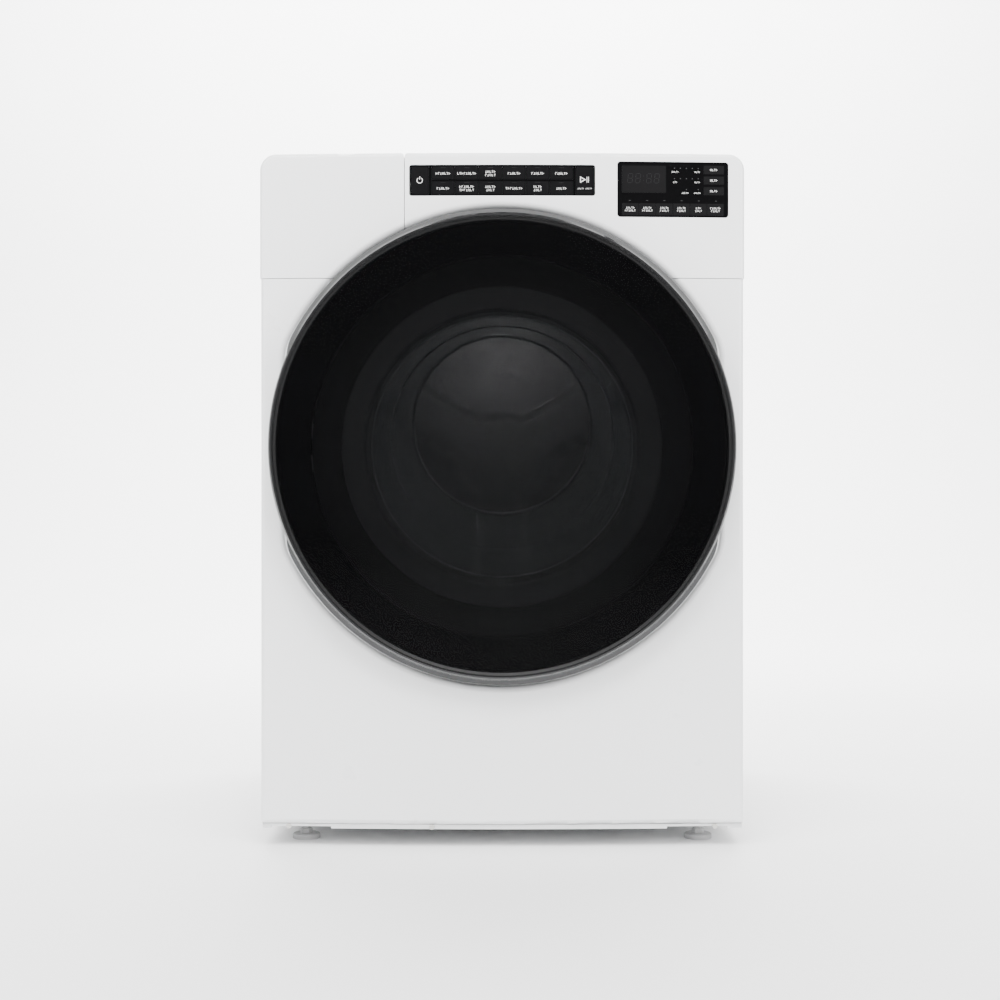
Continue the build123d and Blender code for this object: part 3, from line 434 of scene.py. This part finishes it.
BLUE = grained_plastic("cold_blue", (0.02, 0.06, 0.35), 0.4).material
# Near-black of the cover inside the door: painted shade where the door frame lies in shadow behind the
# window.
SHADE_COVER = grained_plastic("door_shade_cover", (0.045, 0.045, 0.047), 0.5).material
# Light grey of the bowl's beads: painted highlight for the bright edges of the glass, on a partly real
# moulded bead.
BEAD_HIGHLIGHT = grained_plastic("bowl_highlight_beads", (0.34, 0.35, 0.36), 0.25).material
# Light grey for the star's slopes on the drum's back: painted highlight along its pressed edges.
EDGE = grained_plastic("pressed_edge_highlight", (0.62, 0.62, 0.62), 0.4).material
# The door frame's grey is partly its own charcoal plastic and partly painted shade for the recess ring around
# the door.
OWN_FINISH = {"door_rim": rim_gloss().material, "base_frame": base_steel().material,
              "door_frame": grained_plastic("frame_grey_and_recess_shade", (0.062, 0.063, 0.064), 0.45).material}


def dress_nodes():
    """Gives every CAD node the finish of its material slot, or its own finish where OWN_FINISH lists one."""
    for part in RECORD["subparts"]:
        mesh = NODES[part["node"]].data
        mesh.materials.clear()
        finish = FINISHES[part["material_slot"]]
        mesh.materials.append(OWN_FINISH.get(part["node"], finish))


dress_nodes()


# ------------------------------------------------------------ marks on the keys and the display
LETTER = 2.05 * MM
LETTER_GAP = 1.0 * MM
LETTER_H = 3.1 * MM
LINE_PITCH = 4.7 * MM
STROKE = 0.5 * MM
STROKES = ("lt", "lm", "tc", "lb", "lr", "bc")   # upright left, right or centre; bar at top, middle or bottom


def mark(x, z, size, strokes):
    """Two strokes that stand for one printed letter."""
    wide, tall, line = LETTER * size, LETTER_H * size, STROKE * size
    uprights = {"l": line / 2 - wide / 2, "r": wide / 2 - line / 2, "c": 0.0}
    bars = {"t": tall / 2 - line / 2, "m": 0.0, "b": line / 2 - tall / 2}
    outlines = [rectangle(x + uprights[s], z, line, tall) for s in strokes if s in uprights]
    return outlines + [rectangle(x, z + bars[s], wide, line) for s in strokes if s in bars]


def words(x, z, lines, size=1.0):
    """Rows of plain marks where the real panel has words; each number is a word's length."""
    outlines = []
    top = z + (len(lines) - 1) * LINE_PITCH * size / 2
    step = (LETTER + LETTER_GAP) * size
    for row, lengths in enumerate(lines):
        total = sum(lengths) + len(lengths) - 1
        place = x - (total - 1) * step / 2
        for length in lengths:
            for letter in range(length):
                strokes = STROKES[(letter * 5 + length + row) % len(STROKES)]
                outlines += mark(place, top - row * LINE_PITCH * size, size, strokes)
                place += step
            place += step
    return outlines


KEY_WORDS = [[(7,)], [(9,)], [(5,), (5,)], [(6,)], [(6,)], [(6,)],
             [(6,)], [(7,), (7,)], [(5,), (4,)], [(8,)], [(4,), (4,)], [(5,)]]


def mark_cycle_keys():
    """Label and lamp line on each cycle key."""
    for index, lines in enumerate(KEY_WORDS):
        name = f"cycle_key_{index + 1}"
        x, _, z = middle(name)
        outlines = words(x, z - 1.0 * MM, lines)
        piece = prints(f"{name}_label", outlines, LABEL, name, 0.02 * MM)
        line = rectangle(x, z + 7.2 * MM, 7.0 * MM, 0.6 * MM)
        lamp = prints(f"{name}_lamp", [line], UNLIT, name, 0.02 * MM)


def mark_end_keys():
    """Power sign on the left key, play and pause signs on the right one."""
    x, _, z = middle("power_key")
    ring = arc_band(x, z, 3.9 * MM, 0.7 * MM, 125, 415)
    bar = rectangle(x, z + 3.4 * MM, 0.7 * MM, 4.2 * MM)
    prints("power_sign", [ring, bar], LABEL, "power_key", 0.02 * MM)
    x, _, z = middle("start_key")
    z += 1 * MM
    outer = [(x - 6.4 * MM, z - 4.5 * MM), (x - 6.4 * MM, z + 4.5 * MM), (x + 1.6 * MM, z)]
    inner = [(x - 5.4 * MM, z - 2.8 * MM), (x - 5.4 * MM, z + 2.8 * MM), (x - 0.4 * MM, z)]
    sides = [[outer[i], outer[(i + 1) % 3], inner[(i + 1) % 3], inner[i]] for i in range(3)]
    bars = [rectangle(x + d * MM, z, 0.65 * MM, 8.0 * MM) for d in (3.2, 5.4)]
    label = words(x, z - 12.5 * MM, [(5, 5)], 0.62)
    prints("start_sign", sides + bars + label, LABEL, "start_key", 0.02 * MM)


DIGIT_SEGMENTS = {"across": (-1, 0, 1), "down": (-1, 1)}


def digit(x, z, tall):
    """Seven slanted segments of one digit, all shown as unlit."""
    wide, line, lean = tall * 0.5, tall * 0.075, tall * 0.06
    outlines = []
    for row in DIGIT_SEGMENTS["across"]:
        outlines.append(rectangle(x + row * lean, z + row * tall / 2, wide * 0.72, line))
    for side in DIGIT_SEGMENTS["down"]:
        for row in (-0.5, 0.5):
            across, up = x + side * wide / 2 + row * lean, z + row * tall / 2
            outlines.append(rectangle(across, up, line, tall * 0.4, lean * 0.3))
    return outlines


def mark_display():
    """Window, tiles, lamps and labels of the touch display."""
    low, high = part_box("display_panel")
    wide, tall = high[0] - low[0], high[2] - low[2]

    def place(u, v):
        return low[0] + u * wide, low[2] + v * tall

    def tile(u0, u1, v0, v1, radius=0.8 * MM):
        (x0, z0), (x1, z1) = place(u0, v0), place(u1, v1)
        return soft_rectangle((x0 + x1) / 2, (z0 + z1) / 2, x1 - x0, z1 - z0, radius)

    tiles = [tile(0.039, 0.4375, 0.438, 0.929, 1.5 * MM)]
    tiles += [tile(0.777, 0.9605, v0, v1) for v0, v1 in ((0.785, 0.937), (0.599, 0.744), (0.405, 0.551))]
    option_w = (0.9605 - 0.039) / 6
    for index in range(6):
        u0 = 0.039 + index * option_w
        tiles.append(tile(u0 + 0.002, u0 + option_w - 0.002, 0.035, 0.25))
    prints("display_window", tiles[:1], TILE, "cabinet", 0.16 * MM)
    prints("display_tiles", tiles[1:], TILE, "cabinet", 0.07 * MM)

    digits = []
    for u in (0.115, 0.185, 0.285, 0.355):
        digits += digit(*place(u, 0.70), 13 * MM)
    digits += [disc(*place(0.235, v), 0.7 * MM) for v in (0.66, 0.74)]
    prints("display_digits", digits, UNLIT, "cabinet", 0.2 * MM)

    lamps = [disc(*place(0.5135 + 0.0536 * i, v), 0.75 * MM) for v in (0.887, 0.699) for i in range(5)]
    lamps += [disc(*place(u, 0.5025), 0.75 * MM) for u in (0.621, 0.728)]
    lamps += [rectangle(*place(0.112 + 0.1554 * i, 0.299), 3 * MM, 0.6 * MM) for i in range(6)]
    prints("display_lamps", lamps, FAINT, "cabinet", 0.09 * MM)

    labels = []
    for v, length in ((0.861, 4), (0.671, 4), (0.478, 4)):
        labels += words(*place(0.869, v), [(length,)], 0.92)
    options = [[(5,), (6,)], [(5,), (6,)], [(5,), (5,)], [(5,), (5,)], [(3,), (4,)], [(6,), (5,)]]
    for index, lines in enumerate(options):
        labels += words(*place(0.039 + (index + 0.5) * option_w, 0.142), lines, 0.84)
    levels = (
        (0.52, 0.82, 5), (0.72, 0.82, 4), (0.52, 0.635, 3),
        (0.72, 0.635, 4), (0.61, 0.44, 5), (0.72, 0.44, 5),
    )
    for u, v, length in levels:
        labels += words(*place(u, v), [(length,)], 0.68)
    prints("display_labels", labels, LABEL, "cabinet", 0.09 * MM)


mark_cycle_keys()
mark_end_keys()
mark_display()


# ------------------------------------------------------------ door
def lens_back(radius):
    """Depth of the lens's inner face at a radius."""
    rise = 8.5 * MM
    ball = (LENS_R ** 2 + rise ** 2) / (2 * rise)
    return LENS_FRONT + ball - math.sqrt(ball ** 2 - radius ** 2) + 3.0 * MM


def door_border():
    """Printed border behind the lens, from its window to its edge."""
    inner, outer = 265 * MM, LENS_R - 4 * MM
    steps = 12
    radii = [inner + (outer - inner) * i / steps for i in range(steps + 1)]
    loop = [(r, lens_back(r) + 0.15 * MM) for r in radii]
    loop += [(r, lens_back(r) + 0.65 * MM) for r in reversed(radii)]
    lathe("lens_border", loop, BORDER, "door")


def door_shade_cover():
    """Dark cover between the bowl's clamp ring and the lens's printed border: painted shade for the shaded
    door frame seen through the window.
    """
    section = ((226.4, -345.2), (226.4, -346.4), (231, -347.2), (267.4, -347.2), (267.4, -345.2))
    loop = [(r * MM, y * MM) for r, y in section]
    lathe("door_shade_cover_ring", loop, SHADE_COVER, "door")


def bowl_highlight_beads():
    """Moulded bead around the bowl's flat end and two ribs nearer its flange, in a light grey that is partly
    the moulding and partly painted highlight for the glass's bright edges.
    """
    beads = (
        ("bowl_end_bead_highlight", 130.5, -247.5, 2.4, 36.0),
        ("bowl_rib_highlight", 160.5, -300.5, 1.1, 14.6),
        ("bowl_lip_highlight", 184.0, -343.0, 1.0, 0.6),
    )
    for name, radius, y, thick, lift in beads:
        loop = [((radius + thick * math.cos(a)) * MM, (y + thick * math.sin(a)) * MM) for a in
                (math.radians(30 * i) for i in range(12))]
        piece = lathe(name, loop, BEAD_HIGHLIGHT, "door", (0.0, DOOR_Z + lift * MM))


def bowl_ring():
    """Clamp ring that holds the bowl in the door."""
    inner, outer = 191 * MM, 226 * MM
    y0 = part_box("door_bowl")[0][1] - 0.3 * MM
    corners = [(inner, y0), (inner + 4 * MM, y0 - 5 * MM), (outer, y0 - 3 * MM), (outer, y0)]
    loop = rounded_loop(corners, 2 * MM)
    lathe("bowl_clamp_ring", loop, FINISHES["grey_plastic"], "door")


def gasket():
    """Folded rubber bellows, stretched between the cabinet and the tub."""
    outer = [(205.7, -333.8), (205.7, -319.5), (216.5, -313), (216.5, -306), (211.5, -301), (216.5, -296)]
    outer += [(216.5, -289), (213.2, -286), (213.2, -268)]
    inner = [(209.3, -268), (209.3, -284), (213.0, -291), (213.0, -296), (207.5, -301), (213.0, -306)]
    inner += [(213.0, -311), (203, -316), (196, -322), (192.6, -325.5)]
    inner += [(192.6, -329), (197, -331.5), (201, -333.8)]
    loop = rounded_loop([(r * MM, y * MM) for r, y in outer + inner], 2.2 * MM, 3)
    piece = lathe("gasket_bellows", loop, FINISHES["rubber_grey"], None)
    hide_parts("door_gasket")
    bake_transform(piece)


door_border()
door_shade_cover()
bowl_highlight_beads()
bowl_ring()
gasket()


# ------------------------------------------------------------ drum
def star_height(x, z):
    """How far the drum's back is pressed forward at a point, from 0 to 1."""
    radius = math.hypot(x, z)
    best = 0.0
    for index in range(3):
        angle = math.radians(-90 + 120 * index)
        along = x * math.cos(angle) + z * math.sin(angle)
        across = abs(-x * math.sin(angle) + z * math.cos(angle))
        if along > -0.02:
            half = 0.030 + 0.030 * math.exp(-max(along, 0) / 0.05) + 0.012 * (along / 0.2) ** 2
            best = max(best, 1 - min(1, max(0, (across - half + 0.006) / 0.016)))
    hub = 1 - min(1, max(0, (radius - 0.066) / 0.02))
    edge = min(1, max(0, (0.236 - radius) / 0.014))
    level = max(best * edge, hub)
    return level * level * (3 - 2 * level)


def drum_back():
    """Pressed back wall of the drum with its three-armed star, the star's slopes in a lighter grey as painted
    highlight.
    """
    rings, turns = 96, 288
    reach = DRUM_R - 2.0 * MM
    flat, raised = DRUM_BACK_Y - 2.4 * MM, DRUM_BACK_Y - 13.5 * MM
    points = [(0.0, raised, DOOR_Z)]
    for ring in range(1, rings + 1):
        radius = reach * ring / rings
        for turn in range(turns):
            angle = 2 * math.pi * turn / turns
            x, z = radius * math.cos(angle), radius * math.sin(angle)
            y = flat + (raised - flat) * star_height(x, z)
            points.append((x, y, DOOR_Z + z))
    faces = [(0, 1 + turn, 1 + (turn + 1) % turns) for turn in range(turns)]
    for ring in range(rings - 1):
        near, far = 1 + ring * turns, 1 + (ring + 1) * turns
        for turn in range(turns):
            following = (turn + 1) % turns
            faces.append((near + turn, far + turn, far + following, near + following))
    rim = 1 + (rings - 1) * turns
    start = len(points)
    points += [(x, DRUM_BACK_Y - 2.1 * MM, z) for x, _, z in points[rim:rim + turns]]
    for turn in range(turns):
        following = (turn + 1) % turns
        faces.append((rim + turn, start + turn, start + following, rim + following))
    points.append((0.0, DRUM_BACK_Y - 2.1 * MM, DOOR_Z))
    faces += [(len(points) - 1, start + (turn + 1) % turns, start + turn) for turn in range(turns)]
    piece = add_mesh("drum_back_pressing", points, faces, FINISHES["stainless"], "drum", 50)
    # Faces on the star's steep slopes take the lighter grey: painted highlight along the pressing's edges.
    piece.data.materials.append(EDGE)
    for face in piece.data.polygons:
        depths = [points[corner][1] for corner in face.vertices]
        face.material_index = int(max(depths) - min(depths) > 0.9 * MM and len(depths) == 4)


def hole_rings():
    """Holes through the drum's back and wall, as shallow dimples in black: painted shade for the unlit tub
    behind each hole.
    """
    points, faces = [], []

    def dimple(centre, normal, radius, sides=8):
        normal = Vector(normal).normalized()
        turn = normal.to_track_quat("Z", "Y").to_matrix()
        start = len(points)
        for depth in (0.0, 0.25 * MM):
            for side in range(sides):
                angle = 2 * math.pi * side / sides
                local = turn @ Vector((radius * math.cos(angle), radius * math.sin(angle), 0))
                points.append(Vector(centre) + local + normal * depth)
        faces.append(tuple(start + sides + side for side in range(sides)))
        faces.append(tuple(start + side for side in reversed(range(sides))))
        for side in range(sides):
            following = (side + 1) % sides
            faces.append((start + side, start + following, start + sides + following, start + sides + side))

    back_y = DRUM_BACK_Y - 2.5 * MM
    for radius, count in ((0.150, 54), (0.163, 60), (0.176, 66), (0.208, 78), (0.221, 84)):
        for index in range(count):
            angle = 2 * math.pi * (index + 0.5) / count
            x, z = radius * math.cos(angle), radius * math.sin(angle)
            if star_height(x, z) < 0.01:
                dimple((x, back_y, DOOR_Z + z), (0, -1, 0), 1.9 * MM)
    wall = DRUM_R - 1.3 * MM
    for row in range(22):
        y = DRUM_FRONT_Y + 32 * MM + row * 21 * MM
        for index in range(72):
            angle = 2 * math.pi * (index + 0.5 * (row % 2)) / 72
            off = abs((math.degrees(angle) - 30) % 120)
            if min(off, 120 - off) > 10:
                x, z = wall * math.cos(angle), wall * math.sin(angle)
                dimple((x, y, DOOR_Z + z), (-x, 0, -z), 1.9 * MM, 6)
    add_mesh("drum_holes", points, faces, HOLE_SHADE, "drum", 20)


drum_back()
hole_rings()


# ------------------------------------------------------------ suspension
def spring(name, side):
    """Coil spring with a hook at each end, stretched between the cabinet and the tub."""
    low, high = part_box("suspension_springs")
    x, y = side * (high[0] - 12.6 * MM), middle("suspension_springs")[1]
    wire, coil_r, turns, steps = 1.6 * MM, 11 * MM, 19, 20
    z0, z1 = low[2] + 12 * MM, high[2] - 12 * MM
    path = [(x, y, low[2] + 1.7 * MM), (x, y, z0 - 4 * MM)]
    for step in range(turns * steps + 1):
        t = step / (turns * steps)
        angle = 2 * math.pi * turns * t
        path.append((x + coil_r * math.cos(angle), y + coil_r * math.sin(angle), z0 + (z1 - z0) * t))
    path += [(x, y, z1 + 4 * MM), (x, y, high[2] - 1.7 * MM)]
    curve = bpy.data.curves.new(f"{name}_path", "CURVE")
    curve.dimensions = "3D"
    curve.bevel_depth = wire
    curve.bevel_resolution = 3
    curve.use_fill_caps = True
    line = curve.splines.new("POLY")
    line.points.add(len(path) - 1)
    for point, place in zip(line.points, path):
        point.co = (*place, 1.0)
    holder = bpy.data.objects.new(f"{name}_path", curve)
    mesh = bpy.data.meshes.new_from_object(holder)
    bpy.data.objects.remove(holder)
    mesh.name = name
    mesh.shade_smooth()
    mesh.materials.clear()
    mesh.materials.append(FINISHES["zinc_steel"])
    piece = bpy.data.objects.new(name, mesh)
    bpy.context.scene.collection.objects.link(piece)
    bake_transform(piece)
    return piece


left_spring = spring("spring_left", -1)
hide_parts("suspension_springs")
spring("spring_right", 1)


# ------------------------------------------------------------ rear fittings
def port_collars():
    """Threads and coloured collars on the two water inlets."""
    low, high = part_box("inlet_valve")
    radius = 13.2 * MM
    places = (("hot", -0.290, RED), ("cold", -0.236, BLUE))
    z = low[2] + 20 * MM
    for name, x, finish in places:
        collar = [(radius + 0.1 * MM, REAR_Y + 0.3 * MM), (radius + 4 * MM, REAR_Y + 0.3 * MM),
                  (radius + 4 * MM, REAR_Y + 2.3 * MM), (radius + 0.1 * MM, REAR_Y + 2.3 * MM)]
        loop = rounded_loop(collar, 0.6 * MM, 3)
        lathe(f"{name}_collar", loop, finish, "cabinet", (x, z), 48)
        thread = [(radius - 0.2 * MM, REAR_Y + 4 * MM)]
        for turn in range(5):
            y = REAR_Y + (4.5 + 2.3 * turn) * MM
            thread += [(radius + 0.2 * MM, y), (radius + 1.0 * MM, y + 0.7 * MM)]
            thread.append((radius + 0.2 * MM, y + 1.4 * MM))
        thread.append((radius - 0.2 * MM, REAR_Y + 16 * MM))
        turned = lathe(f"{name}_thread", thread, FINISHES["valve_plastic"], "cabinet", (x, z), 64)


port_collars()


# ------------------------------------------------------------ stage, light and camera
def stage():
    """Pale floor that sweeps up into a backdrop."""
    finish = Finish("studio_floor", (0.86, 0.86, 0.86), 0.7)
    finish.tint(finish.noise(1.3), (0.85, 0.85, 0.85), (0.87, 0.87, 0.87))
    outline = [(-6.0, 0.0), (2.5, 0.0)]
    for step in range(1, 11):
        angle = math.radians(9 * step)
        outline.append((2.5 + 1.5 * math.sin(angle), 1.5 - 1.5 * math.cos(angle)))
    outline.append((4.0, 5.0))
    points = [(x, y, z) for y, z in outline for x in (-7.0, 7.0)]
    faces = [(2 * i, 2 * i + 1, 2 * i + 3, 2 * i + 2) for i in range(len(outline) - 1)]
    mesh = bpy.data.meshes.new("studio_sweep")
    mesh.from_pydata(points, [], faces)
    mesh.shade_smooth()
    mesh.materials.append(finish.material)
    sweep = bpy.data.objects.new("studio_sweep", mesh)
    bpy.context.scene.collection.objects.link(sweep)


def aimed(thing, place, target):
    """Puts a light or camera at a place, looking at a target."""
    thing.location = place
    thing.rotation_euler = (Vector(target) - Vector(place)).to_track_quat("-Z", "Y").to_euler()
    bpy.context.scene.collection.objects.link(thing)


def area_light(name, place, target, size, power):
    """Large soft light."""
    data = bpy.data.lights.new(name, "AREA")
    data.shape = "RECTANGLE"
    data.size, data.size_y = size
    data.energy = power
    aimed(bpy.data.objects.new(name, data), place, target)


def lights():
    """Soft boxes from both sides and above, and a dim surround."""
    area_light("key_light", (-2.3, -2.6, 2.3), (0, -0.2, 0.5), (2.2, 2.2), 150)
    area_light("fill_light", (2.5, -2.5, 2.0), (0, -0.2, 0.5), (2.2, 2.2), 135)
    area_light("top_light", (0, -1.6, 3.4), (0, -0.1, 0.5), (3.2, 1.8), 105)
    area_light("front_light", (0.0, -2.1, 2.45), (0, -0.35, 0.5), (1.5, 0.8), 75)
    area_light("back_light", (0, 2.0, 3.6), (0, 3.6, 1.0), (5.0, 1.5), 900)
    inside = bpy.data.lights.new("drum_light", "POINT")
    inside.energy = 0.9
    inside.shadow_soft_size = 0.02
    place = (0.0, DRUM_FRONT_Y + 0.05, DOOR_Z + 0.225)
    aimed(bpy.data.objects.new("drum_light", inside), place, (0.0, DRUM_BACK_Y, DOOR_Z))
    world = bpy.data.worlds.new("studio")
    bpy.context.scene.world = world
    world.use_nodes = True
    background = world.node_tree.nodes["Background"]
    background.inputs["Color"].default_value = (1.0, 1.0, 1.0, 1.0)
    background.inputs["Strength"].default_value = 0.46


CAMERA_Z = 0.4914
CAMERA_X = -0.0031
CAMERA_REACH = 2.25          # from the cabinet's side edges to the camera
FRAME_SHARE = 0.4851          # part of the picture's width that the cabinet takes


def camera():
    """Level camera straight in front."""
    data = bpy.data.cameras.new("camera")
    width = cad_bounds[1][0] - cad_bounds[0][0]
    data.sensor_width = 36.0
    data.lens = 36.0 * CAMERA_REACH * FRAME_SHARE / width
    edge_y = face_y(width / 2)
    thing = bpy.data.objects.new("camera", data)
    aimed(thing, (CAMERA_X, edge_y - CAMERA_REACH, CAMERA_Z), (CAMERA_X, 0.0, CAMERA_Z))
    bpy.context.scene.camera = thing


stage()
lights()
camera()
